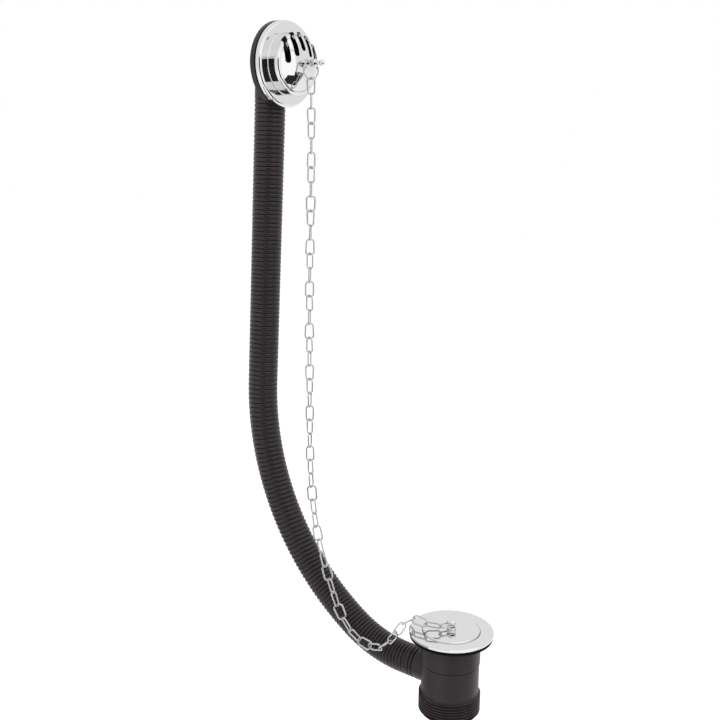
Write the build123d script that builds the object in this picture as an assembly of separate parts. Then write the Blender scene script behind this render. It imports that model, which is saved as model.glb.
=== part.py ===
from build123d import *
import math
import os

# Bath waste and overflow with its plug and chain, in millimetres, +Z up.
# The origin is on the waste's axis, at the face of the bath between the waste's two washers.
# +X is the way the overflow faces. The overflow stands behind the waste, at -X, and above it.

# Waste body: moulded tube with a top flange, a side branch and a threaded tail
tail_depth = 64.8
body_d = 44.6
body_wall = 2.2
band_step = 0.5
band_depth = 22.0
band_groove = 0.4
band_groove_w = 0.8
body_flange_d = 57.0
body_flange_t = 2.0
thread_d = 47.8
thread_len = 13.8
thread_lead = 0.9
tail_end_d = 44.4
tail_end_len = 3.0
tail_edge = 0.7
spider_depth = 14.0
spider_h = 8.0
spider_rib = 3.2
spider_boss_d = 13.0

# Side branch of the body and the nozzle that the hose goes on
inlet_depth = 34.6
branch_len = 13.2
nozzle_len = 8.0
nozzle_wall = 2.0
seal_section = 1.5
groove_side = 0.2
seal_clear = 0.03

# Waste flange: plated, with a tapered seat for the plug and a sleeve with cross bars
upper_washer_t = 1.7
lower_washer_t = 1.3
waste_washer_d = 63.6
flange_d = 65.0
flange_edge_t = 1.9
flange_round = 0.6
flange_dish = 0.25
seat_d = 45.2
seat_slope = 0.885
seat_depth = 4.75
seat_wall = 1.5
sleeve_len = 11.5
sleeve_wall = 1.7
bar_h = 3.0
bar_w = 4.0
bar_boss_d = 14.0
sleeve_clear = 0.2
mouth_clear = 0.4

# Screw that pulls the flange to the body, and the brass insert that takes it
flange_screw_d = 6.0
flange_screw_len = 18.0
flange_screw_head_d = 11.0
screw_slot_w = 1.2
screw_slot_depth = 1.4
screw_clear = 0.2
body_insert_d = 9.0
insert_clear = 0.05
thread_clear = 0.05

# Plug: plated disc with a hub, rubber seal, and a necked post that the chain's last link goes round
plug_gap = 0.8
plug_t = 1.5
plug_crown = 0.4
plug_drop = 0.65
plug_round = 0.5
hub_d = 30.0
hub_lip = 1.6
hub_lip_t = 1.1
seal_h = 3.7
plug_seal_clear = 0.08
post_d = 7.4
post_base_h = 2.0
post_neck_d = 3.6
post_neck_h = 2.7
post_cap_h = 2.2
post_round = 0.7
post_shank_d = 5.0
plug_nut_t = 2.4
plug_nut_af = 8.0

# Wire ring that hangs on the chain stay's neck, turned a little from square
ring_d = 15.0
ring_wire = 1.1
ring_play = 0.05
ring_swing_deg = 12.0

# Overflow cover: one plated casting with a flange, a collar and a slotted domed face
overflow_height = 425.2
overflow_setback = 167.5
cover_d = 65.0
cover_t = 4.2
cover_round = 2.3
collar_d = 47.0
collar_h = 8.4
collar_fillet = 0.6
rim_round = 2.4
dome_step = 0.5
dome_h = 6.8
dome_wall = 2.0
collar_wall = 3.2
slot_count = 5
slot_w = 4.4
slot_pitch = 7.7
slot_ring_r = 9.1
slot_low = -0.4
slot_rim_cut = 1.0
stay_land_d = 7.4
stay_land_h = 0.3

# Overflow elbow: moulded flange and upright pipe, closed above, behind a rubber washer
overflow_washer_t = 1.5
overflow_washer_d = 64.4
elbow_flange_d = 65.2
elbow_flange_t = 4.2
elbow_back = 14.4
elbow_drop = 26.0
elbow_rise = 13.0
elbow_round = 4.0
elbow_wall = 2.4
mouth_d = 26.5
bridge_w = 4.0
bridge_boss_d = 12.0
stay_insert_d = 8.0
stay_insert_len = 9.0

# Chain stay: turned screw with a collar, a neck for the ring, a barrel and a ball end
stay_screw_d = 5.0
stay_collar_d = 6.6
stay_collar_len = 3.3
stay_neck_d = 3.0
stay_neck_len = 3.6
stay_barrel_d = 6.0
stay_barrel_len = 4.0
stay_tip_d = 2.6
stay_tip_len = 3.2
stay_ball_d = 4.8
stay_edge = 0.6

# Overflow hose: annular corrugations, straight from the elbow and then bent under to the waste
hose_d = 24.5
hose_bore_d = 20.0
hose_groove = 1.2
hose_pitch = 3.75
hose_sides = 12
bore_sag = 0.15
hose_fit_clear = 0.2
hose_relief = 0.4
upper_bend_r = 208.0
lower_bend_r = 98.0
lower_bend_deg = 30.7
lower_run = 8.0

# Chain: oval wire links, each turned about the chain by about the same angle from the one before
link_pitch = 11.07
link_w = 6.9
link_wire = 1.25
link_play = 0.12
link_turn = 60.0
first_turn = 172.0
last_turn = 90.0
wire_sides = 6
end_flats = 4

# Derived radii and levels that several pieces share
body_r = body_d / 2
bore_r = tail_end_d / 2 - body_wall
hose_r = hose_d / 2
hose_bore_r = hose_bore_d / 2
nozzle_r = hose_bore_r - hose_fit_clear
nozzle_bore_r = nozzle_r - nozzle_wall
body_top = -lower_washer_t
flange_under = upper_washer_t
flange_top = flange_under + flange_edge_t
seat_top = flange_top - flange_dish
seat_bottom = seat_top - seat_depth
sleeve_r = bore_r - sleeve_clear
bar_top = bar_h - sleeve_len
plug_under = seat_top - plug_drop
plug_edge_top = plug_under + plug_t
plug_top = plug_edge_top + plug_crown
collar_r = collar_d / 2
rim_front = cover_t + collar_h + rim_round
dome_r = collar_r - rim_round - dome_step
dome_base = rim_front - dome_step
dome_front = dome_base + dome_h
stay_seat = dome_front + stay_land_h
stay_barrel_start = stay_seat + stay_collar_len + stay_neck_len
stay_ring_at = stay_barrel_start - stay_neck_len / 2
elbow_front = -overflow_washer_t
elbow_rear = elbow_front - elbow_flange_t
ring_r = (ring_d - ring_wire) / 2
post_neck_low = plug_top + post_base_h
post_neck_high = post_neck_low + post_neck_h
post_cap_top = post_neck_high + post_cap_h
link_arc_r = (link_w - link_wire) / 2

# Local frames: the overflow faces +X with its own Z outward and its own Y up
overflow = Plane(origin=(-overflow_setback, 0, overflow_height), x_dir=(0, 1, 0), z_dir=(1, 0, 0))


def seat_r(z):
    """Radius of the plug seat's taper at a level."""
    return seat_d / 2 - (seat_top - z) * seat_slope


def turned(points):
    """Solid of revolution about Z from (radius, level) corners."""
    return revolve(Plane.XZ * make_face(Polyline(*points, close=True)), Axis.Z)


def rod(radius, start, end):
    """Round bar between two points."""
    start, end = Vector(*start), Vector(*end)
    plane = Plane(origin=start, z_dir=end - start)
    return extrude(plane * Circle(radius), (end - start).length)


def disc(radius, low, high):
    """Round plate about Z between two levels."""
    return rod(radius, (0, 0, low), (0, 0, high))


# Hose centre line: the lower run and arc leave the branch, and the upper arc meets a straight run
inlet = Vector(-(body_r + branch_len), 0, -inlet_depth)
lower_run_end = inlet - Vector(lower_run, 0, 0)
lower_centre = lower_run_end + Vector(0, 0, lower_bend_r)


def off_arc(centre, radius, turn_deg):
    """Point on a bend that has turned up by an angle from level."""
    turn = math.radians(turn_deg)
    return centre + Vector(-math.sin(turn), 0, -math.cos(turn)) * radius


bend_join = off_arc(lower_centre, lower_bend_r, lower_bend_deg)
upper_centre = bend_join + (lower_centre - bend_join).normalized() * upper_bend_r
elbow_axis = overflow.from_local_coords(Vector(0, 0, -elbow_back))
reach = elbow_axis - upper_centre
straight_deg = 180 + math.degrees(math.asin(upper_bend_r / reach.length) - math.atan2(reach.Z, reach.X))
straight_end = off_arc(upper_centre, upper_bend_r, straight_deg)
hose_down = (straight_end - elbow_axis).normalized()
hose_top = elbow_axis + hose_down * elbow_drop


def hose_path():
    """Straight runs and tangent arcs from the elbow's shoulder to the body's branch."""
    upper_mid = off_arc(upper_centre, upper_bend_r, (straight_deg + lower_bend_deg) / 2)
    lower_mid = off_arc(lower_centre, lower_bend_r, lower_bend_deg / 2)
    return Wire(
        [
            Edge.make_line(hose_top, straight_end),
            Edge.make_three_point_arc(straight_end, upper_mid, bend_join),
            Edge.make_three_point_arc(bend_join, lower_mid, lower_run_end),
            Edge.make_line(lower_run_end, inlet),
        ]
    )


def waste_body():
    """Moulded body: top flange, banded tube, side branch with a nozzle, spider and threaded tail."""
    thread_low = tail_end_len - tail_depth
    thread_high = thread_low + thread_len
    tube = turned(
        [
            (0, body_top),
            (body_flange_d / 2, body_top),
            (body_flange_d / 2, body_top - body_flange_t),
            (body_r + band_step, body_top - body_flange_t),
            (body_r + band_step, -band_depth),
            (body_r - band_groove, -band_depth),
            (body_r - band_groove, -band_depth - band_groove_w),
            (body_r, -band_depth - band_groove_w),
            (body_r, thread_high + thread_lead),
            (thread_d / 2, thread_high),
            (thread_d / 2, thread_low),
            (tail_end_d / 2, thread_low - thread_lead),
            (tail_end_d / 2, tail_edge - tail_depth),
            (tail_end_d / 2 - tail_edge, -tail_depth),
            (0, -tail_depth),
        ]
    )
    branch, branch_bore = nozzle_on(inlet, Vector(-1, 0, 0), body_r + branch_len)
    mouth_r = seat_r(body_top) + seat_wall + mouth_clear
    mouth_low = body_top - (mouth_r - bore_r) / seat_slope
    bore = disc(bore_r, -tail_depth, body_top)
    mouth = turned([(0, body_top), (mouth_r, body_top), (bore_r, mouth_low), (0, mouth_low)])
    return tube + branch - bore - mouth - branch_bore + body_spider()


def body_spider():
    """Cross ribs in the body's bore with a boss for the brass insert."""
    low, high = -spider_depth - spider_h, -spider_depth
    rib = extrude(Plane.XY.offset(low) * Rectangle(2 * bore_r, spider_rib), spider_h)
    ribs = (rib + Rot(0, 0, 90) * rib) & disc(bore_r, low, high)
    return ribs + disc(spider_boss_d / 2, low, high) - disc(body_insert_d / 2 + insert_clear, low, high)


def nozzle_on(shoulder, out, root):
    """Branch that ends in a shoulder with a grooved nozzle, and its bore, both from a root inside."""
    start = shoulder - out * root
    tip = shoulder + out * nozzle_len
    groove_mid = shoulder + out * (nozzle_len / 2)
    groove_half = out * (seal_section / 2 + groove_side)
    groove_r = hose_bore_r - seal_section - 2 * seal_clear
    groove = rod(nozzle_r + hose_fit_clear, groove_mid - groove_half, groove_mid + groove_half)
    groove -= rod(groove_r, groove_mid - groove_half, groove_mid + groove_half)
    solid = rod(hose_r, start, shoulder) + rod(nozzle_r, shoulder, tip) - groove
    return solid, rod(nozzle_bore_r, start, tip)


def hose_seal(shoulder, out):
    """Rubber ring in a nozzle's groove, against the hose's bore."""
    plane = Plane(origin=shoulder + out * (nozzle_len / 2), z_dir=out)
    return plane * Torus(hose_bore_r - seal_section / 2 - seal_clear, seal_section / 2)


def waste_washer(low, high):
    """Rubber ring on one face of the bath, clear of the plug seat's bowl."""
    hole_r = seat_r(flange_under) + seat_wall + mouth_clear
    return disc(waste_washer_d / 2, low, high) - disc(hole_r, low, high)


def waste_flange():
    """Plated flange with a tapered plug seat and a sleeve that ends in drilled cross bars."""
    low_r = seat_r(seat_bottom)
    shell = turned(
        [
            (seat_r(flange_under) + seat_wall, flange_under),
            (flange_d / 2, flange_under),
            (flange_d / 2, flange_top - flange_round),
            (flange_d / 2 - flange_round, flange_top),
            (seat_d / 2, seat_top),
            (low_r, seat_bottom),
            (sleeve_r - sleeve_wall, seat_bottom),
            (sleeve_r - sleeve_wall, -sleeve_len),
            (sleeve_r, -sleeve_len),
            (sleeve_r, seat_top - (seat_d / 2 + seat_wall - sleeve_r) / seat_slope),
        ]
    )
    bar = extrude(Plane.XY.offset(-sleeve_len) * Rectangle(2 * sleeve_r, bar_w), bar_h)
    bars = (bar + Rot(0, 0, 90) * bar) & disc(sleeve_r, -sleeve_len, bar_top)
    boss = disc(bar_boss_d / 2, -sleeve_len, bar_top)
    return shell + bars + boss - flange_screw_form(screw_clear)


def flange_screw_form(clear):
    """Countersunk screw with its head level with the cross bars, grown by a clearance."""
    head_r = flange_screw_head_d / 2
    shank_r = flange_screw_d / 2
    low = bar_top - flange_screw_len
    return turned(
        [
            (0, bar_top),
            (head_r + clear, bar_top),
            (shank_r + clear, bar_top - (head_r - shank_r)),
            (shank_r + clear, low),
            (0, low),
        ]
    )


def flange_screw():
    """Screw through the cross bars, with a cross slot in its head."""
    screw = flange_screw_form(0)
    slot = extrude(Plane.XY.offset(bar_top) * Rectangle(flange_screw_head_d / 2, screw_slot_w), -screw_slot_depth)
    return screw - slot - Rot(0, 0, 90) * slot


def body_insert():
    """Brass insert in the body's spider."""
    low, high = -spider_depth - spider_h, -spider_depth
    return disc(body_insert_d / 2, low, high) - disc(flange_screw_d / 2 + thread_clear, low, high)


def plug_disc():
    """Plated disc with a crowned top, and a hub with a lip that holds the seal."""
    plug_r = seat_d / 2 - plug_gap
    lip_top = plug_under - seal_h
    solid = turned(
        [
            (0, plug_top),
            (plug_r - plug_round, plug_edge_top),
            (plug_r, plug_edge_top - plug_round),
            (plug_r, plug_under),
            (hub_d / 2, plug_under),
            (hub_d / 2, lip_top),
            (hub_d / 2 + hub_lip, lip_top),
            (hub_d / 2 + hub_lip, lip_top - hub_lip_t),
            (0, lip_top - hub_lip_t),
        ]
    )
    return solid - disc(post_shank_d / 2 + thread_clear, lip_top - hub_lip_t, plug_top)


def plug_seal():
    """Tapered rubber ring between the disc and the hub's lip, lying on the plug seat."""
    low = plug_under - seal_h
    return turned(
        [
            (hub_d / 2, plug_under),
            (seat_r(plug_under) - plug_seal_clear - plug_gap, plug_under),
            (seat_r(plug_under - plug_gap) - plug_seal_clear, plug_under - plug_gap),
            (seat_r(low) - plug_seal_clear, low),
            (hub_d / 2, low),
        ]
    )


# The chain's last link comes to the post from the overflow's side
chain_side = Vector(-0.52, -0.85, 0).normalized()
post_neck_mid = (post_neck_low + post_neck_high) / 2


def plug_post():
    """Turned post: base, neck and rounded cap, with a shank through the plug."""
    hub_under = plug_under - seal_h - hub_lip_t
    post_r = post_d / 2
    return turned(
        [
            (0, post_cap_top),
            (post_r - post_round, post_cap_top),
            (post_r, post_cap_top - post_round),
            (post_r, post_neck_high),
            (post_neck_d / 2, post_neck_high),
            (post_neck_d / 2, post_neck_low),
            (post_r, post_neck_low),
            (post_r, plug_top),
            (post_shank_d / 2, plug_top),
            (post_shank_d / 2, hub_under - plug_nut_t),
            (0, hub_under - plug_nut_t),
        ]
    )


def plug_nut():
    """Nut on the post's shank, under the hub."""
    hub_under = plug_under - seal_h - hub_lip_t
    plane = Plane.XY.offset(hub_under - plug_nut_t)
    flats = RegularPolygon(plug_nut_af / 2, 6, major_radius=False)
    return extrude(plane * (flats - Circle(post_shank_d / 2 + thread_clear)), plug_nut_t)


# The stay's ring hangs on the neck
ring_swing = math.radians(ring_swing_deg)
stay_ring_side = Vector(math.sin(ring_swing), math.cos(ring_swing), 0)
stay_ring_top = (stay_neck_d + ring_wire) / 2 + ring_play
stay_ring_centre = overflow.from_local_coords(Vector(0, stay_ring_top - ring_r, stay_ring_at))


def stay_ring():
    """Round wire ring on the chain stay's neck."""
    facing = stay_ring_side.cross(Vector(0, 0, 1))
    return Plane(origin=stay_ring_centre, x_dir=stay_ring_side, z_dir=facing) * Torus(ring_r, ring_wire / 2)


def overflow_cover():
    """Plated casting: rounded flange, collar, rolled rim and a slotted dome, hollow behind."""
    cover_r = cover_d / 2
    cavity_r = collar_r - collar_wall
    dome_radius = (dome_r**2 + dome_h**2) / (2 * dome_h)
    dome_centre = dome_front - dome_radius
    inner_radius = dome_radius - dome_wall
    inner_base = dome_centre + math.sqrt(inner_radius**2 - cavity_r**2)
    rise = math.degrees(math.asin((dome_base - dome_centre) / dome_radius))
    inner_rise = math.degrees(math.asin((inner_base - dome_centre) / inner_radius))
    outline = [
        Line((cavity_r, 0), (cover_r, 0)),
        Line((cover_r, 0), (cover_r, cover_t - cover_round)),
        CenterArc((cover_r - cover_round, cover_t - cover_round), cover_round, 0, 90),
        Line((cover_r - cover_round, cover_t), (collar_r + collar_fillet, cover_t)),
        CenterArc((collar_r + collar_fillet, cover_t + collar_fillet), collar_fillet, 180, 90),
        Line((collar_r, cover_t + collar_fillet), (collar_r, cover_t + collar_h)),
        CenterArc((collar_r - rim_round, cover_t + collar_h), rim_round, 0, 90),
        Line((collar_r - rim_round, rim_front), (dome_r, dome_base)),
        CenterArc((0, dome_centre), dome_radius, rise, 90 - rise),
        Line((0, dome_front), (0, dome_front - dome_wall)),
        CenterArc((0, dome_centre), inner_radius, inner_rise, 90 - inner_rise),
        Line((cavity_r, inner_base), (cavity_r, 0)),
    ]
    casting = revolve(Plane.XZ * make_face(outline), Axis.Z)
    casting += disc(stay_land_d / 2, dome_front - dome_wall, stay_seat)
    casting -= disc(stay_screw_d / 2 + screw_clear, 0, stay_seat)
    return overflow * (casting - overflow_slots())


def overflow_slots():
    """Upright slots through the dome, round-ended below and open through the rim above."""
    slots = Sketch()
    for i in range(slot_count):
        x = (i - (slot_count - 1) / 2) * slot_pitch
        inside = slot_ring_r**2 - x**2
        end = (math.sqrt(inside) if inside > 0 else slot_low) + slot_w / 2
        slots += Pos(x, end) * Circle(slot_w / 2)
        slots += Pos(x, (end + collar_r) / 2) * Rectangle(slot_w, collar_r - end)
    floor = cover_t + collar_h - slot_rim_cut
    return extrude(Plane.XY.offset(floor) * slots, stay_seat - floor)


def overflow_washer():
    """Rubber ring behind the cover's flange."""
    ring = disc(overflow_washer_d / 2, elbow_front, 0)
    return overflow * (ring - disc(collar_r - collar_wall, elbow_front, 0))


def overflow_elbow():
    """Moulded flange on an upright pipe, cut back for the hose, with a bridge for the insert and a nozzle."""
    low = elbow_front - stay_insert_len
    shell = disc(elbow_flange_d / 2, elbow_rear, elbow_front) + disc(mouth_d / 2, -elbow_back, elbow_front)
    mouth = disc(mouth_d / 2 - elbow_wall, -elbow_back, 0)
    bridge = extrude(Plane.XY.offset(low) * Rectangle(mouth_d - elbow_wall, bridge_w), stay_insert_len)
    bridge += disc(bridge_boss_d / 2, low, elbow_front)
    pipe_top = elbow_axis - hose_down * elbow_rise
    pipe = rod(hose_r, hose_top, pipe_top)
    pipe = fillet(pipe.edges().filter_by(GeomType.CIRCLE).sort_by(Axis.Z)[-1], elbow_round)
    chamber = rod(hose_r - elbow_wall, hose_top - hose_down * elbow_wall, pipe_top + hose_down * elbow_wall)
    relief = rod(hose_r + hose_relief, hose_top, hose_top + hose_down * (elbow_flange_d / 2))
    branch, branch_bore = nozzle_on(hose_top, hose_down, elbow_drop)
    body = overflow * shell + pipe - relief + branch
    body = body - overflow * mouth - chamber - branch_bore + overflow * bridge
    return body - overflow * disc(stay_insert_d / 2 + insert_clear, low, elbow_front)


def stay_insert():
    """Brass insert in the elbow's bridge."""
    low = elbow_front - stay_insert_len
    ring = disc(stay_insert_d / 2, low, elbow_front)
    return overflow * (ring - disc(stay_screw_d / 2 + thread_clear, low, elbow_front))


def chain_stay():
    """Turned stay: screw, collar on the cover's land, neck, barrel, tip and ball."""
    levels = [elbow_front - stay_insert_len, stay_seat, stay_seat + stay_collar_len, stay_barrel_start]
    levels += [stay_barrel_start + stay_barrel_len]
    levels += [levels[-1] + stay_tip_len]
    radii = [stay_screw_d / 2, stay_collar_d / 2, stay_neck_d / 2, stay_barrel_d / 2, stay_tip_d / 2]
    points = [(0, levels[0])]
    for radius, low, high in zip(radii, levels, levels[1:]):
        points += [(radius, low), (radius, high)]
    points += [(0, levels[-1])]
    stay = turned(points)
    barrel = stay.edges().filter_by(GeomType.CIRCLE).filter_by(lambda e: abs(e.radius - radii[3]) < 1e-6)
    stay = chamfer(barrel, stay_edge)
    stay += Pos(0, 0, levels[-1] + stay_ball_d / 2 - stay_edge) * Sphere(stay_ball_d / 2)
    return overflow * stay


def hose_section(path, at, radius):
    """Polygon section of the hose at a fraction of its path, square to it."""
    plane = Plane(origin=path.position_at(at), x_dir=(0, 1, 0), z_dir=path.tangent_at(at))
    turns = [2 * math.pi * k / hose_sides for k in range(hose_sides)]
    return Wire.make_polygon([plane.from_local_coords((radius * math.cos(t), radius * math.sin(t))) for t in turns])


def bore_stations():
    """Fractions of the path where the bore's sections stand: its ends, and close together in each bend."""
    upper_bend = upper_bend_r * math.radians(straight_deg - lower_bend_deg)
    lower_bend = lower_bend_r * math.radians(lower_bend_deg)
    upper_steps = math.ceil(upper_bend / math.sqrt(8 * upper_bend_r * bore_sag))
    lower_steps = math.ceil(lower_bend / math.sqrt(8 * lower_bend_r * bore_sag))
    marks = [0, (straight_end - hose_top).length]
    for length, steps in ((upper_bend, upper_steps), (lower_bend, lower_steps), (lower_run, 1)):
        marks += [marks[-1] + length * (k + 1) / steps for k in range(steps)]
    return [mark / marks[-1] for mark in marks]


def overflow_hose():
    """Corrugated hose: polygon sections swell and narrow along the path, round a plain bore."""
    path = hose_path()
    half_ribs = 2 * round(path.length / hose_pitch)
    radii = [hose_r if i % 2 else hose_r - hose_groove for i in range(half_ribs + 1)]
    skin = Solid.make_loft([hose_section(path, i / half_ribs, r) for i, r in enumerate(radii)], ruled=True)
    bore_corner_r = hose_bore_r / math.cos(math.pi / hose_sides)
    bore = Solid.make_loft([hose_section(path, at, bore_corner_r) for at in bore_stations()], ruled=True)
    walls = []
    ends = []
    for face in skin.faces() + bore.faces():
        (ends if len(face.edges()) == hose_sides else walls).append(face)
    for outer in ends[:2]:
        inner = min(ends[2:], key=lambda face: (face.center() - outer.center()).length)
        walls.append(Face(outer.outer_wire(), [inner.outer_wire()]))
    return Solid(Shell(walls))


def link(pitch):
    """One oval link along Z, its wire a polygon bar mitred round straight sides and faceted ends."""
    half = (pitch + link_play + link_wire) / 2 - link_arc_r
    corners = []
    for side, quarter in ((1, 0), (-1, 180)):
        for step in range(end_flats):
            turn = math.radians(quarter + (step + 0.5) * 180 / end_flats)
            reach_out = link_arc_r / math.cos(math.pi / (2 * end_flats))
            corners.append((reach_out * math.cos(turn), 0, side * half + reach_out * math.sin(turn)))
    path = Polyline(*corners, close=True)
    start = path.edges()[0]
    plane = Plane(origin=start @ 0.5, x_dir=(0, 1, 0), z_dir=start % 0.5)
    section = plane * RegularPolygon(link_wire / 2, wire_sides)
    return sweep(section, path, transition=Transition.RIGHT)


# The last link lies level round the post's neck, and the link before it hangs in its far end
last_link_reach = (link_pitch + link_play - post_neck_d) / 2
last_link_at = chain_side * last_link_reach + Vector(0, 0, post_neck_mid)


def chain_route():
    """Centre line of the chain: down from the stay, past the near side of the hose, up to the plug."""
    return Spline(
        stay_ring_centre - Vector(0, 0, ring_r - ring_wire / 2),
        (-138.5, -3, 330),
        (-136.8, -7, 245),
        (-132.5, -12, 160),
        (-122.5, -15.5, 60),
        (-106.0, -17, 15),
        (-83.2, -17.5, -19.5),
        (-69.8, -17.5, -25.1),
        (-56.8, -17.5, -24),
        (-47.1, -17.5, -15.9),
        (-37.6, -16.2, -2.6),
        (-28.4, -14.0, 8.9),
        (-15.6, -13.0, 9.0),
        last_link_at + chain_side * (link_pitch / 2),
    )


def chain_links():
    """Links between equal steps along the route, each turned from the one before, and one on the post."""
    route = chain_route().edge()
    count = round(route.length / link_pitch)
    half_turns = round((link_turn * count + first_turn - last_turn) / 180)
    step = (last_turn - first_turn + 180 * half_turns) / count
    joints = [route.position_at(i / count) for i in range(count + 1)]
    joints.append(joints[-1] - chain_side * link_pitch)
    shape = link(route.length / count)
    links = []
    for i in range(count + 1):
        along = joints[i + 1] - joints[i]
        middle = (joints[i + 1] + joints[i]) / 2
        plane = Plane(origin=middle, x_dir=Vector(0, 1, 0).cross(along), z_dir=along)
        links.append((plane * Rot(0, 0, first_turn + step * i) * shape).solid())
    return Compound(children=links)


parts = {
    "waste_body": waste_body,
    "upper_waste_washer": lambda: waste_washer(0, upper_washer_t),
    "lower_waste_washer": lambda: waste_washer(body_top, 0),
    "waste_flange": waste_flange,
    "flange_screw": flange_screw,
    "body_insert": body_insert,
    "plug_disc": plug_disc,
    "plug_seal": plug_seal,
    "plug_post": plug_post,
    "plug_nut": plug_nut,
    "chain_links": chain_links,
    "stay_ring": stay_ring,
    "chain_stay": chain_stay,
    "overflow_cover": overflow_cover,
    "overflow_washer": overflow_washer,
    "overflow_elbow": overflow_elbow,
    "stay_insert": stay_insert,
    "overflow_hose": overflow_hose,
    "upper_hose_seal": lambda: hose_seal(hose_top, hose_down),
    "lower_hose_seal": lambda: hose_seal(inlet, Vector(-1, 0, 0)),
}

os.makedirs("parts", exist_ok=True)
for name, make in parts.items():
    export_step(make(), f"parts/{name}.step")
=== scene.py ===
"""Looks of a bath waste and overflow: plated fittings, a link chain and a corrugated hose on a dark body.

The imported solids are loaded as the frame. Most pieces keep their solids and get their finishes here.
The hose, the chain and the threaded body are drawn again in finer meshes.
All lengths are in metres, in the frame of the solids: +Z up the waste's axis, the overflow at -X.
"""

from __future__ import annotations

import logging
import math
from collections.abc import Callable
from dataclasses import dataclass
from enum import Enum

import bmesh
import bpy
import numpy as np
from mathutils import Matrix, Vector

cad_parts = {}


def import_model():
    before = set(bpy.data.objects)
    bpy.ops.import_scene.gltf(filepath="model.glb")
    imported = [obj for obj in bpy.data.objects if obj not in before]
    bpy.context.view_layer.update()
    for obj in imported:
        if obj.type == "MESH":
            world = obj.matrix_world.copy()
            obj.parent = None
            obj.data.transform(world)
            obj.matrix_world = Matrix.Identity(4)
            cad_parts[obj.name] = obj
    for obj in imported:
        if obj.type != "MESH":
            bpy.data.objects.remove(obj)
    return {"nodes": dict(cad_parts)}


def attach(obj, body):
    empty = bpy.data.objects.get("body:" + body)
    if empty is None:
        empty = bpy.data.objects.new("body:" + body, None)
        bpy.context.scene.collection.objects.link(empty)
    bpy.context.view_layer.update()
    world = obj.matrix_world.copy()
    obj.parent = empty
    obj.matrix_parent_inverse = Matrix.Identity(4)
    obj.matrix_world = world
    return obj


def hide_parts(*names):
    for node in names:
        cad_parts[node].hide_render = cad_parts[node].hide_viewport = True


log = logging.getLogger("bath_waste")

Colour = tuple[float, float, float]
Spot = tuple[float, float]
Point = tuple[float, float, float]
BODY = "root"
FLOOR_Z = -0.30
CARD_LIFT = 0.005
CARD_Z = FLOOR_Z + CARD_LIFT
MM_PER_M = 1000
X_AXIS, Z_AXIS = 0, 2
WHITE = (1.0, 1.0, 1.0, 1.0)
BLACK = (0.0, 0.0, 0.0, 1.0)
# Most of a noise's values lie between these
NOISE_LOW, NOISE_HIGH = 0.3, 0.7
# Places of a Mix node's colour sockets, because its sockets for other kinds have the same names
MIX_FIRST, MIX_SECOND, MIX_RESULT = 6, 7, 2


class Slot(Enum):
    """Material slots of the record."""

    CHROME = "chrome_plate"
    CHAIN = "chain_wire"
    RUBBER = "black_rubber"
    BODY = "dark_plastic"
    HOSE = "hose_plastic"
    STEEL = "steel"
    BRASS = "brass"

    @property
    def finish(self) -> str:
        """Gives the name of the slot's finished material, which isn't the frame's plain one."""
        return f"{self.value}_finish"


class Effect(Enum):
    """Shader node groups that several finishes share."""

    HANDLING_HAZE = "handling_haze"
    MOULDED_SKIN = "moulded_skin"


def add_node(tree: bpy.types.NodeTree, kind: str, **inputs: float) -> bpy.types.Node:
    """Adds a node and sets its inputs by name.

    Args:
        tree: The node tree that takes the node.
        kind: Blender's type name of the node.
        **inputs: Values for input sockets, with spaces in their names written as underscores.

    Returns:
        The new node.
    """
    node = tree.nodes.new(kind)
    for name, value in inputs.items():
        node.inputs[name.replace("_", " ")].default_value = value
    return node


def remap(tree: bpy.types.NodeTree, value: bpy.types.NodeSocket) -> bpy.types.Node:
    """Adds a Map Range node that spreads a noise's middle values over the whole range.

    Args:
        tree: The node tree that takes the node.
        value: The noise's output.

    Returns:
        The Map Range node, with its output limits still to be set.
    """
    node = add_node(tree, "ShaderNodeMapRange", From_Min=NOISE_LOW, From_Max=NOISE_HIGH)
    tree.links.new(value, node.inputs["Value"])
    return node


def start_group(effect: Effect, inputs: dict[str, str], outputs: dict[str, str]) -> bpy.types.NodeTree:
    """Makes an empty shader node group with named sockets.

    Args:
        effect: The effect that the group gives.
        inputs: Socket types by input name.
        outputs: Socket types by output name.

    Returns:
        The group, with its input and output nodes in it.
    """
    group = bpy.data.node_groups.new(effect.value, "ShaderNodeTree")
    for name, kind in inputs.items():
        group.interface.new_socket(name=name, in_out="INPUT", socket_type=kind)
    for name, kind in outputs.items():
        group.interface.new_socket(name=name, in_out="OUTPUT", socket_type=kind)
    group.nodes.new("NodeGroupInput")
    group.nodes.new("NodeGroupOutput")
    return group


def add_noise(group: bpy.types.NodeTree, scale: str, **inputs: float) -> bpy.types.Node:
    """Adds a noise that lies still on the object.

    Args:
        group: The node group that takes the noise.
        scale: The group's input that gives the noise's scale.
        **inputs: Values for the noise's other inputs.

    Returns:
        The noise node.
    """
    place = add_node(group, "ShaderNodeTexCoord")
    noise = add_node(group, "ShaderNodeTexNoise", **inputs)
    group.links.new(place.outputs["Object"], noise.inputs["Vector"])
    group.links.new(group.nodes["Group Input"].outputs[scale], noise.inputs["Scale"])
    return noise


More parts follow.
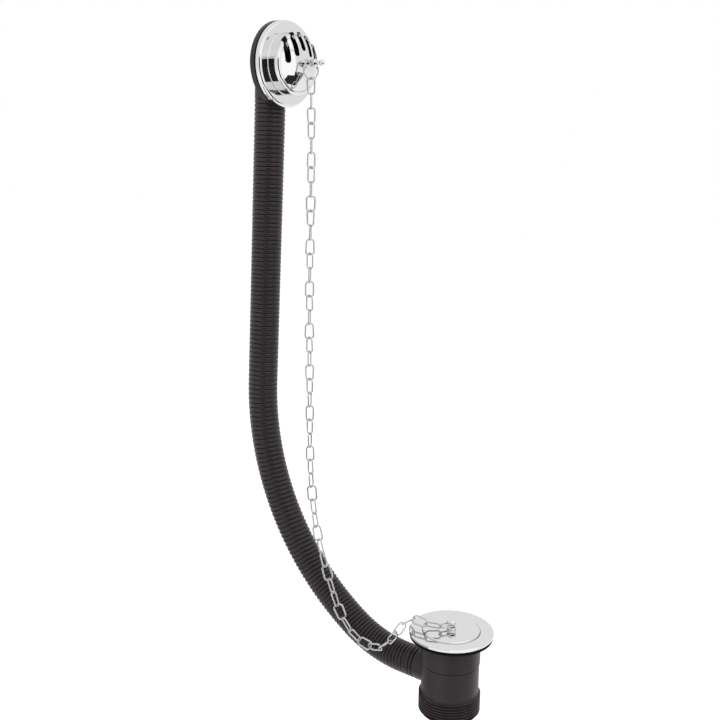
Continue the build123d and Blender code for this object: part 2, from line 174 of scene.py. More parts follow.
def build_handling_haze() -> None:
    """Builds the effect of handled bright metal: soft patches, and a faint ripple in the plate."""
    number = "NodeSocketFloat"
    group = start_group(
        Effect.HANDLING_HAZE,
        {"Polish": number, "Haze": number, "Patch Scale": number, "Ripple Scale": number},
        {"Roughness": number, "Ripple": number},
    )
    given, result = group.nodes["Group Input"], group.nodes["Group Output"]
    patches = add_noise(group, "Patch Scale", Detail=5.0, Roughness=0.6)
    ripple = add_noise(group, "Ripple Scale", Detail=1.0)
    spread = remap(group, patches.outputs["Fac"])
    group.links.new(given.outputs["Polish"], spread.inputs["To Min"])
    group.links.new(given.outputs["Haze"], spread.inputs["To Max"])
    group.links.new(spread.outputs["Result"], result.inputs["Roughness"])
    group.links.new(ripple.outputs["Fac"], result.inputs["Ripple"])


def build_moulded_skin() -> None:
    """Builds the skin of a moulding: cloudy colour, uneven sheen and a fine grain."""
    number, colour = "NodeSocketFloat", "NodeSocketColor"
    group = start_group(
        Effect.MOULDED_SKIN,
        {
            "Colour": colour,
            "Bloom": colour,
            "Satin": number,
            "Matt": number,
            "Cloud Scale": number,
            "Grain Scale": number,
        },
        {"Colour": colour, "Roughness": number, "Grain": number},
    )
    given, result = group.nodes["Group Input"], group.nodes["Group Output"]
    cloud = add_noise(group, "Cloud Scale", Detail=4.0, Roughness=0.55)
    grain = add_noise(group, "Grain Scale", Detail=3.0, Roughness=0.7)
    tint = add_node(group, "ShaderNodeMix")
    tint.data_type = "RGBA"
    depth = remap(group, cloud.outputs["Fac"])
    group.links.new(depth.outputs["Result"], tint.inputs["Factor"])
    group.links.new(given.outputs["Colour"], tint.inputs[MIX_FIRST])
    group.links.new(given.outputs["Bloom"], tint.inputs[MIX_SECOND])
    sheen = remap(group, grain.outputs["Fac"])
    group.links.new(given.outputs["Satin"], sheen.inputs["To Min"])
    group.links.new(given.outputs["Matt"], sheen.inputs["To Max"])
    group.links.new(tint.outputs[MIX_RESULT], result.inputs["Colour"])
    group.links.new(sheen.outputs["Result"], result.inputs["Roughness"])
    group.links.new(grain.outputs["Fac"], result.inputs["Grain"])


def new_material(name: str) -> tuple[bpy.types.NodeTree, bpy.types.Node]:
    """Makes a material with a Principled shader.

    Args:
        name: The material's name.

    Returns:
        The material's node tree and its shader node.
    """
    material = bpy.data.materials.new(name)
    material.use_nodes = True
    return material.node_tree, material.node_tree.nodes["Principled BSDF"]


def place_effect(tree: bpy.types.NodeTree, effect: Effect) -> bpy.types.Node:
    """Places a shared effect in a material.

    Args:
        tree: The material's node tree.
        effect: The effect to place.

    Returns:
        The group node.
    """
    node = tree.nodes.new("ShaderNodeGroup")
    node.node_tree = bpy.data.node_groups[effect.value]
    return node


def raise_skin(tree: bpy.types.NodeTree, height: bpy.types.NodeSocket, depth: float) -> None:
    """Feeds a height to the shader's normal through a bump.

    Args:
        tree: The material's node tree.
        height: The output that gives the height, from 0 to 1.
        depth: How far a height of 1 stands out.
    """
    bump = add_node(tree, "ShaderNodeBump", Strength=1.0, Distance=depth)
    tree.links.new(height, bump.inputs["Height"])
    tree.links.new(bump.outputs["Normal"], tree.nodes["Principled BSDF"].inputs["Normal"])


@dataclass(frozen=True)
class MetalFinish:
    """A bright metal: plate, wire, steel or brass."""

    slot: Slot
    colour: Colour
    polish: float
    haze: float
    patch_scale: float = 45.0
    ripple_scale: float = 70.0
    ripple_depth: float = 1e-5

    def build(self) -> None:
        """Builds the finish's material."""
        tree, shader = new_material(self.slot.finish)
        shader.inputs["Base Color"].default_value = (*self.colour, 1.0)
        shader.inputs["Metallic"].default_value = 1.0
        haze = place_effect(tree, Effect.HANDLING_HAZE)
        haze.inputs["Polish"].default_value = self.polish
        haze.inputs["Haze"].default_value = self.haze
        haze.inputs["Patch Scale"].default_value = self.patch_scale
        haze.inputs["Ripple Scale"].default_value = self.ripple_scale
        tree.links.new(haze.outputs["Roughness"], shader.inputs["Roughness"])
        raise_skin(tree, haze.outputs["Ripple"], self.ripple_depth)


@dataclass(frozen=True)
class MouldedFinish:
    """A moulding: satin plastic or matt rubber."""

    slot: Slot
    colour: Colour
    bloom: Colour
    satin: float
    matt: float
    specular: float
    cloud_scale: float = 60.0
    grain_scale: float = 2600.0
    grain_depth: float = 3e-5

    def build(self) -> None:
        """Builds the finish's material."""
        tree, shader = new_material(self.slot.finish)
        shader.inputs["Specular IOR Level"].default_value = self.specular
        skin = place_effect(tree, Effect.MOULDED_SKIN)
        skin.inputs["Colour"].default_value = (*self.colour, 1.0)
        skin.inputs["Bloom"].default_value = (*self.bloom, 1.0)
        skin.inputs["Satin"].default_value = self.satin
        skin.inputs["Matt"].default_value = self.matt
        skin.inputs["Cloud Scale"].default_value = self.cloud_scale
        skin.inputs["Grain Scale"].default_value = self.grain_scale
        tree.links.new(skin.outputs["Colour"], shader.inputs["Base Color"])
        tree.links.new(skin.outputs["Roughness"], shader.inputs["Roughness"])
        raise_skin(tree, skin.outputs["Grain"], self.grain_depth)


FINISHES: tuple[MetalFinish | MouldedFinish, ...] = (
    MetalFinish(Slot.CHROME, (0.70, 0.70, 0.70), polish=0.03, haze=0.07),
    MetalFinish(Slot.CHAIN, (0.54, 0.54, 0.54), polish=0.04, haze=0.10, patch_scale=300.0),
    MetalFinish(Slot.STEEL, (0.58, 0.58, 0.58), polish=0.22, haze=0.34),
    MetalFinish(Slot.BRASS, (0.72, 0.53, 0.25), polish=0.20, haze=0.36),
    MouldedFinish(
        Slot.RUBBER, (0.004, 0.004, 0.004), (0.006, 0.006, 0.006), satin=0.70, matt=0.88, specular=0.10
    ),
    MouldedFinish(
        Slot.BODY, (0.021, 0.013, 0.016), (0.026, 0.017, 0.020), satin=0.34, matt=0.46, specular=0.32
    ),
    MouldedFinish(
        Slot.HOSE, (0.017, 0.0105, 0.012), (0.021, 0.0135, 0.015), satin=0.30, matt=0.42, specular=0.38
    ),
)


def new_piece(name: str, mesh: bpy.types.Mesh, slot: Slot, node: str, crease_deg: float) -> None:
    """Puts a mesh in the scene in place of a solid of the frame.

    Args:
        name: The piece's name.
        mesh: Its mesh, in the frame of the solids.
        slot: The slot that it takes its finish from.
        node: The solid that it replaces.
        crease_deg: Edges that turn by more than this stay sharp.
    """
    mesh.shade_smooth()
    mesh.set_sharp_from_angle(angle=math.radians(crease_deg))
    mesh.materials.clear()
    mesh.materials.append(bpy.data.materials[slot.finish])
    piece = bpy.data.objects.new(name, mesh)
    bpy.context.scene.collection.objects.link(piece)
    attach(piece, BODY)
    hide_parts(node)
    log.info("%s: %d faces in place of %s", name, len(mesh.polygons), node)


def dress(nodes: dict[str, bpy.types.Object], finishes: dict[str, Slot]) -> None:
    """Gives solids of the frame their finishes.

    Args:
        nodes: The frame's solids by name.
        finishes: The slot of each solid to dress.
    """
    for name, slot in finishes.items():
        for held in nodes[name].material_slots:
            held.material = bpy.data.materials[slot.finish]
        log.info("%s: dressed in %s", name, slot.value)


def mesh_of(name: str, points: list[Vector], faces: list[tuple[int, ...]]) -> bpy.types.Mesh:
    """Makes a mesh whose faces all look outward.

    Args:
        name: The mesh's name.
        points: Its corners.
        faces: Its faces, as places in the list of points.

    Returns:
        The mesh.
    """
    mesh = bpy.data.meshes.new(name)
    mesh.from_pydata(points, [], faces)
    work = bmesh.new()
    work.from_mesh(mesh)
    bmesh.ops.recalc_face_normals(work, faces=work.faces)
    work.to_mesh(mesh)
    work.free()
    return mesh


def turns(around: int) -> list[float]:
    """Gives the angles of points that are spread evenly round a ring."""
    return [math.tau * k / around for k in range(around)]


def skin_rings(first: int, rings: int, around: int) -> list[tuple[int, ...]]:
    """Joins rings of points, each to the next, with four-sided faces.

    Args:
        first: The place of the first ring's first point.
        rings: How many rings there are.
        around: How many points each ring has.

    Returns:
        The faces.
    """
    faces = []
    for ring in range(rings - 1):
        low = first + ring * around
        for k in range(around):
            after = (k + 1) % around
            faces.append((low + k, low + after, low + around + after, low + around + k))
    return faces


@dataclass
class OverflowHose:
    """The corrugated hose from the elbow behind the overflow down to the waste's side branch."""

    crest_r: float = 0.01225
    groove: float = 0.0010
    bore_r: float = 0.010
    around: int = 48
    crease_deg: float = 70.0
    # X and Z of the branch's mouth, where the hose ends
    inlet: Spot = (-0.0355, -0.0346)
    lower_run: float = 0.008
    lower_bend_r: float = 0.098
    lower_bend_deg: float = 30.7
    upper_bend_r: float = 0.208
    # X and Z of the elbow's axis, and how far from it the hose starts
    elbow_axis: Spot = (-0.1819, 0.4252)
    elbow_drop: float = 0.026
    # Distance from the top end and pitch of the ribs there: drawn apart in the middle, close near the waste
    pitches: tuple[Spot, ...] = (
        (0.0, 0.00344),
        (0.14, 0.00350),
        (0.23, 0.00408),
        (0.37, 0.00386),
        (0.44, 0.00324),
    )
    # The grooves open between these distances from the top end
    opening: Spot = (0.35, 0.42)
    crest_place: float = 0.5
    # Place along a rib, its height above the groove, and its height there once the grooves are open
    rib: tuple[Point, ...] = (
        (0.0, 0.0, 0.0),
        (0.04, 0.40, 0.12),
        (0.09, 0.70, 0.32),
        (0.20, 0.90, 0.74),
        (crest_place, 1.0, 1.0),
        (0.80, 0.90, 0.74),
        (0.91, 0.70, 0.32),
        (0.96, 0.40, 0.12),
    )

    def off_arc(self, centre: Vector, radius: float, turn: float) -> Vector:
        """Gives the point of a bend where the hose has turned so far up from level."""
        return centre + radius * Vector((-math.sin(turn), 0.0, -math.cos(turn)))

    def route(self) -> list[tuple[float, Vector, float, float]]:
        """Lays out the hose's centre line from the elbow down.

        Returns:
            Its runs and bends in order: length, first point or bend's centre, turn at its start, and
            bend radius or 0.
        """
        lower_turn = math.radians(self.lower_bend_deg)
        inlet = Vector((self.inlet[0], 0.0, self.inlet[1]))
        run_end = inlet - Vector((self.lower_run, 0.0, 0.0))
        lower_centre = run_end + Vector((0.0, 0.0, self.lower_bend_r))
        join = self.off_arc(lower_centre, self.lower_bend_r, lower_turn)
        upper_centre = join + (lower_centre - join).normalized() * self.upper_bend_r
        axis = Vector((self.elbow_axis[0], 0.0, self.elbow_axis[1]))
        reach = axis - upper_centre
        upper_turn = math.pi + math.asin(self.upper_bend_r / reach.length) - math.atan2(reach.z, reach.x)
        straight_end = self.off_arc(upper_centre, self.upper_bend_r, upper_turn)
        top = axis + (straight_end - axis).normalized() * self.elbow_drop
        return [
            ((straight_end - top).length, top, upper_turn, 0.0),
            (self.upper_bend_r * (upper_turn - lower_turn), upper_centre, upper_turn, self.upper_bend_r),
            (self.lower_bend_r * lower_turn, lower_centre, lower_turn, self.lower_bend_r),
            (self.lower_run, run_end, 0.0, 0.0),
        ]

    def ring(self, along: float, radius: float) -> list[Vector]:
        """Gives the points of one ring of the hose.

        Args:
            along: The ring's distance from the hose's top end.
            radius: The ring's radius.

        Returns:
            The ring's points.
        """
        parts = self.route()
        while len(parts) > 1 and along > parts[0][0]:
            along -= parts.pop(0)[0]
        _, point, turn, bend = parts[0]
        if bend:
            turn -= along / bend
            centre = self.off_arc(point, bend, turn)
        else:
            centre = point + along * Vector((math.cos(turn), 0.0, -math.sin(turn)))
        out = Vector((math.sin(turn), 0.0, math.cos(turn)))
        side = Vector((0.0, 1.0, 0.0))
        return [centre + radius * (math.cos(a) * out + math.sin(a) * side) for a in turns(self.around)]

    def rib_starts(self, length: float) -> list[float]:
        """Spaces the ribs by the pitch that each part of the hose has.

        Args:
            length: The hose's length.

        Returns:
            Where each rib starts, from the top end, and the hose's end.
        """
        stations, pitches = zip(*self.pitches)
        starts = [0.0]
        while starts[-1] < length:
            starts.append(starts[-1] + float(np.interp(starts[-1], stations, pitches)))
        return [start * length / starts[-1] for start in starts]

    def build(self) -> None:
        """Builds the ribbed tube with its bore."""
        length = sum(part[0] for part in self.route())
        starts = self.rib_starts(length)
        valley_r = self.crest_r - self.groove
        points: list[Vector] = []
        for start, after in zip(starts, starts[1:]):
            opened = float(np.interp(start, self.opening, (0.0, 1.0)))
            for place, height, open_height in self.rib:
                rise = height + opened * (open_height - height)
                points += self.ring(start + place * (after - start), valley_r + rise * self.groove)
        points += self.ring(length, valley_r)
        for start in reversed(starts):
            points += self.ring(start, self.bore_r)
        rings = len(points) // self.around
        points += points[: self.around]
        faces = skin_rings(0, rings + 1, self.around)
        mesh = mesh_of("corrugated_hose", points, faces)
        log.info("hose: %.0f mm, %d ribs", length * MM_PER_M, len(starts) - 1)
        new_piece("corrugated_hose", mesh, Slot.HOSE, "overflow_hose", self.crease_deg)


@dataclass
class PlugChain:
    """The chain of oval wire links from the overflow's stay to the plug's post."""

    node: str = "chain_links"
    wire_r: float = 0.000625
    end_r: float = 0.002825
    side: float = 0.00679
    joint_gap: float = 0.00012
    weld: float = 1e-6
    end_steps: int = 14
    side_steps: int = 3
    around: int = 12
    crease_deg: float = 50.0
    seed: int = 7
    most_spread: float = 0.22
    most_taper: float = 0.12

    def links(self, work: bmesh.types.BMesh) -> list[np.ndarray]:
        """Sorts the corners of the solid chain by link.

        Args:
            work: The solid chain's mesh.

        Returns:
            An array for each link, with a corner in each row.
        """
        todo = set(work.verts)
        found = []
        for start in work.verts:
            if start not in todo:
                continue
            todo.remove(start)
            link, edge = [], [start]
            while edge:
                vertex = edge.pop()
                link.append(vertex)
                for joined in vertex.link_edges:
                    other = joined.other_vert(vertex)
                    if other in todo:
                        todo.remove(other)
                        edge.append(other)
            found.append(np.array([v.co for v in link]))
        return found

    def lies(self, solid: bpy.types.Object) -> list[Matrix]:
        """Reads how each link of the solid chain lies.

        Args:
            solid: The frame's chain.

        Returns:
            A matrix for each link: X across it, Y through it, Z along it.
        """
        work = bmesh.new()
        work.from_mesh(solid.data)
        bmesh.ops.remove_doubles(work, verts=work.verts, dist=self.weld)
        found = []
        for corners in self.links(work):
            centre = corners.mean(axis=0)
            _, axes = np.linalg.eigh(np.cov((corners - centre).T))
            through, across, along = (Vector(axes[:, k]) for k in range(3))
            if across.cross(through).dot(along) < 0:
                across.negate()
            turn = Matrix((across, through, along)).transposed().to_4x4()
            found.append(Matrix.Translation(Vector(centre)) @ turn)
        work.free()
        return found

    def end_arc(self, z: float, start: float) -> list[tuple[Vector, Vector]]:
        """Gives the wire round one end of a link.

        Args:
            z: The height of the end's centre.
            start: The angle that the half turn starts from.

        Returns:
            Points on the wire's centre line, each with the direction out of the link.
        """
        arc = []
        for k in range(self.end_steps + 1):
            turn = start + math.pi * k / self.end_steps
            out = Vector((math.cos(turn), 0.0, math.sin(turn)))
            arc.append((Vector((0.0, 0.0, z)) + self.end_r * out, out))
        return arc

    def centre_line(self) -> list[tuple[Vector, Vector]]:
        """Gives one link's wire, from the joint in its side right round to the joint.

        Returns:
            Points on the wire's centre line, each with the direction out of the link.
        """
        half = self.side / 2
        line = []
        right, left = Vector((1.0, 0.0, 0.0)), Vector((-1.0, 0.0, 0.0))
        for k in range(self.side_steps):
            z = self.joint_gap / 2 + (half - self.joint_gap / 2) * k / self.side_steps
            line.append((Vector((self.end_r, 0.0, z)), right))
        line += self.end_arc(half, 0.0)
        for k in range(1, 2 * self.side_steps):
            line.append((Vector((-self.end_r, 0.0, half - self.side * k / (2 * self.side_steps))), left))
        line += self.end_arc(-half, math.pi)
        for k in range(1, self.side_steps + 1):
            z = -half + (half - self.joint_gap / 2) * k / self.side_steps
            line.append((Vector((self.end_r, 0.0, z)), right))
        return line

    def bend(self, wire: list[Vector], draw: np.random.Generator) -> list[Vector]:
        """Bends a link by hand: a little wider than the plain one, and wider at one end than at the other.

        Args:
            wire: The plain link's points.
            draw: Where the random amounts come from.

        Returns:
            The bent link's points.
        """
        spread = 1 + draw.uniform(0.0, self.most_spread)
        taper = draw.uniform(-self.most_taper, self.most_taper) / (self.side / 2 + self.end_r)
        return [Vector((point.x * (spread + taper * point.z), point.y, point.z)) for point in wire]

    def build(self, nodes: dict[str, bpy.types.Object]) -> None:
        """Builds the round-wire links where the solid ones lie.

        Args:
            nodes: The frame's solids by name.
        """
        through = Vector((0.0, 1.0, 0.0))
        wire: list[Vector] = []
        line = self.centre_line()
        for centre, out in line:
            for turn in turns(self.around):
                wire.append(centre + self.wire_r * (math.cos(turn) * out + math.sin(turn) * through))
        points: list[Vector] = []
        faces: list[tuple[int, ...]] = []
        draw = np.random.default_rng(self.seed)
        for lie in self.lies(nodes[self.node]):
            first = len(points)
            points += [lie @ point for point in self.bend(wire, draw)]
            faces += skin_rings(first, len(line), self.around)
            faces.append(tuple(range(first, first + self.around)))
            faces.append(tuple(range(len(points) - self.around, len(points))))
        mesh = mesh_of("plug_chain", points, faces)
        new_piece("plug_chain", mesh, Slot.CHAIN, self.node, self.crease_deg)


@dataclass
class WasteOutlet:
    """The plated waste flange, its washers and the moulded body with its threaded tail."""

    hose: OverflowHose
    node: str = "waste_body"
    thread_r: float = 0.0239
    thread_lead: float = 0.0009
    thread_top: float = -0.0480
    thread_bottom: float = -0.0618
    thread_pitch: float = 0.002309
    thread_depth: float = 0.00135
    crest_share: float = 0.30
    around: int = 120
    rows_per_turn: int = 14
    weld: float = 2e-6
    slack: float = 1e-4
    crease_deg: float = 32.0
    # How many of the hose's ribs go on over the branch, and in how many rows each is drawn
    branch_ribs: float = 2.5
    rows_per_rib: int = 20
    branch_around: int = 64
    # A face of the branch's side leans less than this towards the branch's end
    most_lean: float = 0.5

    def thread_radius(self, turn: float, z: float) -> float:
        """Gives the thread's radius at an angle and a height, cut back by the chamfers at its ends.

        Args:
            turn: The angle round the tail.
            z: The height.

        Returns:
            The radius.
        """
        from_end = min(self.thread_top - z, z - self.thread_bottom)
        lead_r = self.thread_r - max(0.0, self.thread_lead - from_end)
        if from_end <= 0.0:
            return lead_r
        phase = (z / self.thread_pitch - turn / math.tau) % 1.0
        rise = abs(2 * phase - 1)
        flank = min(1.0, max(0.0, (rise - self.crest_share / 2) / (1 - self.crest_share)))
        dip = self.thread_depth * flank * flank * (3 - 2 * flank)
        return min(lead_r, self.thread_r - dip)

    def join_rings(self, work: bmesh.types.BMesh, rings: list[list[bmesh.types.BMVert]]) -> None:
        """Joins rings of points, each to the next, with four-sided faces.

        Args:
            work: The body's mesh.
            rings: The rings, in order along the surface.
        """
        for upper, lower in zip(rings, rings[1:]):
            for k, corner in enumerate(upper):
                after = (k + 1) % len(upper)
                work.faces.new((corner, lower[k], lower[after], upper[after]))

    def rim_at(self, work: bmesh.types.BMesh, axis: int, level: float) -> list[bmesh.types.BMVert]:
        """Finds the corners of the open rim that lies at a level of an axis."""
        return [v for v in work.verts if v.is_boundary and abs(v.co[axis] - level) < self.slack]

    def close_rim(
        self,
        work: bmesh.types.BMesh,
        ring: list[bmesh.types.BMVert],
        rim: list[bmesh.types.BMVert],
        turn_of: Callable[[Vector], float],
    ) -> None:
        """Joins a drawn ring to the rim that the plain faces left, corner by corner round their circle.

        Args:
            work: The body's mesh.
            ring: The drawn ring.
            rim: The open rim, on the same circle as the ring.
            turn_of: Gives a corner's angle round the circle.
        """
        ring, rim = (sorted(loop, key=lambda v: turn_of(v.co)) for loop in (ring, rim))
        steps = [(turn_of(v.co), False, v) for v in rim[1:]] + [(turn_of(v.co), True, v) for v in ring[1:]]
        steps.sort(key=lambda step: step[:2])
        # The first corners come up once more at the end and close the circle
        steps += [(math.tau, True, ring[0]), (math.tau, False, rim[0])]
        on_ring, on_rim = ring[0], rim[0]
        for _, of_ring, corner in steps:
            work.faces.new((on_ring, on_rim, corner))
            if of_ring:
                on_ring = corner
            else:
                on_rim = corner
        bmesh.ops.remove_doubles(work, verts=[*ring, *rim], dist=self.weld)

    def rib_branch(self, work: bmesh.types.BMesh) -> None:
        """Draws the hose's ribs on over the mouth of the side branch.

        Args:
            work: The body's mesh.
        """
        mouth, level = self.hose.inlet
        branch_r = self.hose.crest_r
        _, pitch = self.hose.pitches[-1]
        smooth_from = mouth + self.branch_ribs * pitch
        everything = [*work.verts, *work.edges, *work.faces]
        cut_at, cut_way = (smooth_from, 0.0, 0.0), (1.0, 0.0, 0.0)
        bmesh.ops.bisect_plane(work, geom=everything, dist=self.weld, plane_co=cut_at, plane_no=cut_way)
        axis = Vector((0.0, level))
        plain = [
            face
            for face in work.faces
            if abs(face.normal.x) < self.most_lean
            and all(
                v.co.x < smooth_from + self.slack and abs((v.co.yz - axis).length - branch_r) < self.slack
                for v in face.verts
            )
        ]
        bmesh.ops.delete(work, geom=plain, context="FACES")
        rims = [self.rim_at(work, X_AXIS, x) for x in (mouth, smooth_from)]
        places, _, heights = zip(*self.hose.rib)
        rings = []
        for row in range(round(self.branch_ribs * self.rows_per_rib) + 1):
            along = row / self.rows_per_rib
            # The crest runs level from the mouth to its place on the first rib
            place = max(along, self.hose.crest_place) % 1.0
            height = float(np.interp(place, (*places, 1.0), (*heights, 0.0)))
            radius = branch_r - (1.0 - height) * self.hose.groove
            x = mouth + along * pitch
            ring = []
            for turn in turns(self.branch_around):
                y, z = radius * math.sin(turn), level + radius * math.cos(turn)
                ring.append(work.verts.new((x, y, z)))
            rings.append(ring)
        self.join_rings(work, rings)
        for ring, rim in zip((rings[0], rings[-1]), rims):
            self.close_rim(work, ring, rim, lambda co: math.atan2(co.y, co.z - level))

    def wind_thread(self, work: bmesh.types.BMesh) -> None:
        """Draws the turns of thread in place of the tail's plain side.

        Args:
            work: The body's mesh.
        """
        inner_r = self.thread_r - self.thread_lead - self.slack
        plain = [
            face
            for face in work.faces
            if all(
                v.co.xy.length > inner_r
                and self.thread_bottom - self.slack < v.co.z < self.thread_top + self.slack
                for v in face.verts
            )
        ]
        bmesh.ops.delete(work, geom=plain, context="FACES")
        rims = [self.rim_at(work, Z_AXIS, z) for z in (self.thread_top, self.thread_bottom)]
        height = self.thread_top - self.thread_bottom
        rows = round(self.rows_per_turn * height / self.thread_pitch)
        rings = []
        for row in range(rows + 1):
            z = self.thread_top - height * row / rows
            ring = []
            for turn in turns(self.around):
                radius = self.thread_radius(turn, z if 0 < row < rows else self.thread_top)
                ring.append(work.verts.new((radius * math.cos(turn), radius * math.sin(turn), z)))
            rings.append(ring)
        self.join_rings(work, rings)
        for ring, rim in zip((rings[0], rings[-1]), rims):
            self.close_rim(work, ring, rim, lambda co: math.atan2(co.y, co.x))

    def build(self, nodes: dict[str, bpy.types.Object]) -> None:
        """Builds the body again with turns of thread on its tail and ribs on its branch.

        Args:
            nodes: The frame's solids by name.
        """
        work = bmesh.new()
        work.from_mesh(nodes[self.node].data)
        bmesh.ops.remove_doubles(work, verts=work.verts, dist=self.weld)
        self.rib_branch(work)
        self.wind_thread(work)
        bmesh.ops.recalc_face_normals(work, faces=work.faces)
        mesh = bpy.data.meshes.new("threaded_body")
        work.to_mesh(mesh)
        work.free()
        # The solid's own normals don't fit the new faces
        mesh.attributes.remove(mesh.attributes["custom_normal"])
        new_piece("threaded_body", mesh, Slot.BODY, self.node, self.crease_deg)

    def dress(self, nodes: dict[str, bpy.types.Object]) -> None:
        """Gives the flange, its screw, insert, washers and seal their finishes."""
        dress(
            nodes,
            {
                "waste_flange": Slot.CHROME,
                "flange_screw": Slot.STEEL,
                "body_insert": Slot.BRASS,
                "upper_waste_washer": Slot.RUBBER,
                "lower_waste_washer": Slot.RUBBER,
                "lower_hose_seal": Slot.RUBBER,
            },
        )


@dataclass
class BathPlug:
    """The plated plug that rests in the waste flange."""

    def dress(self, nodes: dict[str, bpy.types.Object]) -> None:
        """Gives the plug's pieces their finishes."""
        dress(
            nodes,
            {
                "plug_disc": Slot.CHROME,
                "plug_post": Slot.CHROME,
                "plug_seal": Slot.RUBBER,
                "plug_nut": Slot.STEEL,
            },
        )


@dataclass
class OverflowRose:
    """The slotted overflow cover, its chain stay and the elbow behind it."""

    def dress(self, nodes: dict[str, bpy.types.Object]) -> None:
        """Gives the overflow's pieces their finishes."""
        dress(
            nodes,
            {
                "overflow_cover": Slot.CHROME,
                "chain_stay": Slot.CHROME,
                "stay_ring": Slot.CHAIN,
                "overflow_washer": Slot.RUBBER,
                "overflow_elbow": Slot.BODY,
                "stay_insert": Slot.BRASS,
                "upper_hose_seal": Slot.RUBBER,
            },
        )


@dataclass(frozen=True)
class StudioCard:
    """A flat card that only mirrors see, dark or bright."""

    name: str
    glow: float
    corners: tuple[Point, ...]


def standing(left: Spot, right: Spot, foot: float, top: float) -> tuple[Point, ...]:
    """Gives the corners of a card that stands over a line on the floor, between two heights."""
    return ((*left, foot), (*right, foot), (*right, top), (*left, top))


def lying(height: float, *spots: Spot) -> tuple[Point, ...]:
    """Gives the corners of a card that lies level over spots of the floor, at a height."""
    return tuple((*spot, height) for spot in spots)


CARDS = (
    StudioCard("dark_front_card", 0.02, standing((1.38, -4.40), (3.65, -2.35), CARD_Z, 1.457)),
    StudioCard(
        "dark_near_card", 0.03, lying(CARD_Z, (0.17, -0.66), (0.75, -0.10), (3.65, -2.35), (1.38, -4.40))
    ),
    StudioCard(
        "dark_far_card", 0.03, lying(CARD_Z, (0.635, -0.18), (0.485, 0.46), (1.92, 2.17), (2.85, 0.07))
    ),
    StudioCard(
        "grey_left_card",
        0.45,
        lying(CARD_Z, (-0.883, 0.146), (-0.647, -0.618), (-0.169, -0.47), (-0.405, 0.294)),
    ),
    StudioCard("bright_side_card", 1.35, standing((0.511, -0.37), (0.579, 0.206), 0.091, 0.819)),
    StudioCard("bright_top_card", 1.35, standing((0.28, -1.24), (0.92, -0.66), 0.86, 1.63)),
    StudioCard(
        "bright_high_card", 1.3, lying(1.60, (0.447, -0.98), (0.493, 1.02), (1.593, 1.04), (1.547, -0.96))
    ),
)


@dataclass(frozen=True)
class SoftLamp:
    """A square soft lamp: its place, its side and its power in watts."""

    name: str
    at: Point
    size: float
    power: float


LAMPS = (
    SoftLamp("key_lamp", (-0.5, -1.3, 1.3), size=1.6, power=8.0),
    SoftLamp("side_lamp", (1.5, -0.3, 0.9), size=1.2, power=4.0),
)


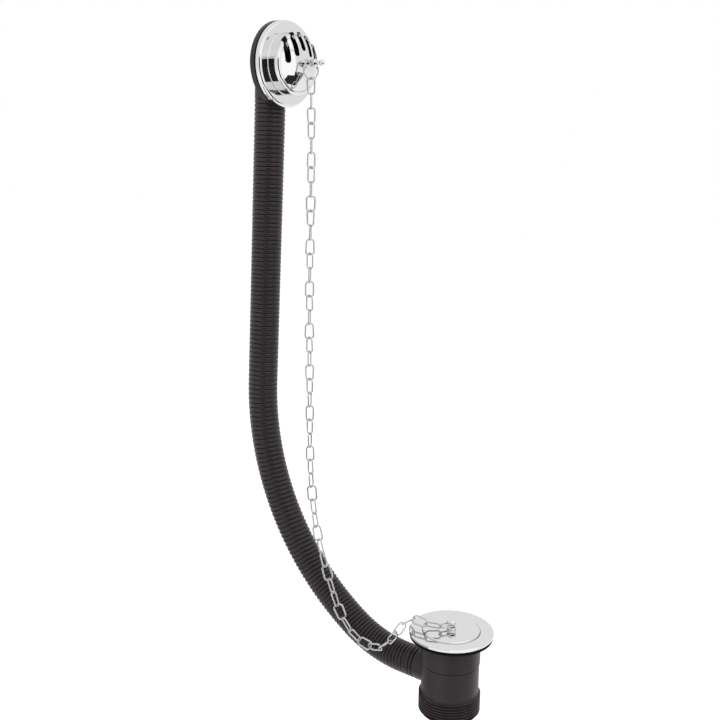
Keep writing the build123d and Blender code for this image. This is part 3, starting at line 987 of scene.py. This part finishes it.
@dataclass
class Studio:
    """The camera, the pale floor, the lights and the cards that the plate mirrors."""

    lens_mm: float = 50.0
    sensor_mm: float = 36.0
    camera_at: Point = (0.37513, -0.59707, 0.37463)
    camera_right: Point = (0.78688, 0.61705, 0.00879)
    camera_down: Point = (0.14384, -0.16954, -0.97497)
    camera_ahead: Point = (-0.60011, 0.76845, -0.22216)
    floor_half: float = 5.0
    floor_colour: Colour = (0.90, 0.90, 0.90)
    floor_roughness: float = 0.9
    floor_lift: float = 0.5
    room_light: float = 0.62
    lamps_aim: Point = (-0.08, 0.0, 0.18)

    def place_camera(self) -> None:
        """Sets up the camera at the portrait's viewing angle."""
        data = bpy.data.cameras.new("portrait_camera")
        data.lens, data.sensor_width = self.lens_mm, self.sensor_mm
        camera = bpy.data.objects.new("portrait_camera", data)
        up, back = -Vector(self.camera_down), -Vector(self.camera_ahead)
        turn = Matrix((self.camera_right, up, back)).transposed().to_4x4()
        camera.matrix_world = Matrix.Translation(self.camera_at) @ turn
        bpy.context.scene.collection.objects.link(camera)
        bpy.context.scene.camera = camera

    def seen_rays(self, tree: bpy.types.NodeTree) -> bpy.types.NodeSocket:
        """Adds nodes that tell the rays that see the background from those that light the object.

        Args:
            tree: The node tree that takes the nodes.

        Returns:
            An output that is 1 for camera, glossy and transmission rays.
        """
        path = add_node(tree, "ShaderNodeLightPath")
        seen = path.outputs["Is Camera Ray"]
        for kind in ("Is Glossy Ray", "Is Transmission Ray"):
            most = add_node(tree, "ShaderNodeMath")
            most.operation = "MAXIMUM"
            tree.links.new(seen, most.inputs[0])
            tree.links.new(path.outputs[kind], most.inputs[1])
            seen = most.outputs["Value"]
        return seen

    def paint_world(self) -> None:
        """Makes the world white where it is seen and softer where it lights."""
        world = bpy.data.worlds.new("white_room")
        world.use_nodes = True
        bpy.context.scene.world = world
        tree = world.node_tree
        level = add_node(tree, "ShaderNodeMapRange", To_Min=self.room_light, To_Max=1.0)
        tree.links.new(self.seen_rays(tree), level.inputs["Value"])
        background = tree.nodes["Background"]
        background.inputs["Color"].default_value = WHITE
        tree.links.new(level.outputs["Result"], background.inputs["Strength"])

    def panel(self, name: str, corners: tuple[Point, ...]) -> bpy.types.Object:
        """Puts up a flat panel of the studio, in the material of its name.

        Args:
            name: The panel's name.
            corners: Its corners, in order round it.

        Returns:
            The panel.
        """
        mesh = bpy.data.meshes.new(name)
        mesh.from_pydata(corners, [], [tuple(range(len(corners)))])
        mesh.materials.append(bpy.data.materials[name])
        panel = bpy.data.objects.new(name, mesh)
        bpy.context.scene.collection.objects.link(panel)
        return panel

    def lay_floor(self) -> None:
        """Lays a pale floor that looks white and keeps the object's soft shadow."""
        tree, shader = new_material("floor")
        shader.inputs["Base Color"].default_value = (*self.floor_colour, 1.0)
        shader.inputs["Roughness"].default_value = self.floor_roughness
        shader.inputs["Specular IOR Level"].default_value = 0.0
        shader.inputs["Emission Color"].default_value = WHITE
        lift = add_node(tree, "ShaderNodeMapRange", To_Max=self.floor_lift)
        tree.links.new(self.seen_rays(tree), lift.inputs["Value"])
        tree.links.new(lift.outputs["Result"], shader.inputs["Emission Strength"])
        half = self.floor_half
        self.panel("floor", lying(FLOOR_Z, (-half, -half), (half, -half), (half, half), (-half, half)))

    def hang_cards(self) -> None:
        """Hangs the cards that give the plate its dark and bright bands."""
        for card in CARDS:
            _, shader = new_material(card.name)
            shader.inputs["Base Color"].default_value = BLACK
            shader.inputs["Specular IOR Level"].default_value = 0.0
            shader.inputs["Emission Color"].default_value = WHITE
            shader.inputs["Emission Strength"].default_value = card.glow
            panel = self.panel(card.name, card.corners)
            panel.visible_camera = False
            panel.visible_diffuse = False
            panel.visible_shadow = False
            panel.visible_transmission = False

    def hang_lamps(self) -> None:
        """Hangs the soft lamps, which no mirror sees."""
        for lamp in LAMPS:
            data = bpy.data.lights.new(lamp.name, "AREA")
            data.size, data.energy = lamp.size, lamp.power
            hung = bpy.data.objects.new(lamp.name, data)
            hung.visible_glossy = False
            way = Vector(self.lamps_aim) - Vector(lamp.at)
            turn = way.to_track_quat("-Z", "Y").to_matrix().to_4x4()
            hung.matrix_world = Matrix.Translation(lamp.at) @ turn
            bpy.context.scene.collection.objects.link(hung)

    def build(self) -> None:
        """Sets up the whole studio."""
        bpy.context.scene.view_settings.view_transform = "Standard"
        self.place_camera()
        self.paint_world()
        self.lay_floor()
        self.hang_cards()
        self.hang_lamps()


def main() -> None:
    """Builds the looks piece by piece."""
    logging.basicConfig(level=logging.INFO, format="%(message)s")
    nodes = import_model()["nodes"]
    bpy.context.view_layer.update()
    build_handling_haze()
    build_moulded_skin()
    for finish in FINISHES:
        finish.build()
    Studio().build()
    OverflowRose().dress(nodes)
    hose = OverflowHose()
    hose.build()
    PlugChain().build(nodes)
    BathPlug().dress(nodes)
    outlet = WasteOutlet(hose)
    outlet.dress(nodes)
    outlet.build(nodes)


if __name__ == "__main__":
    main()
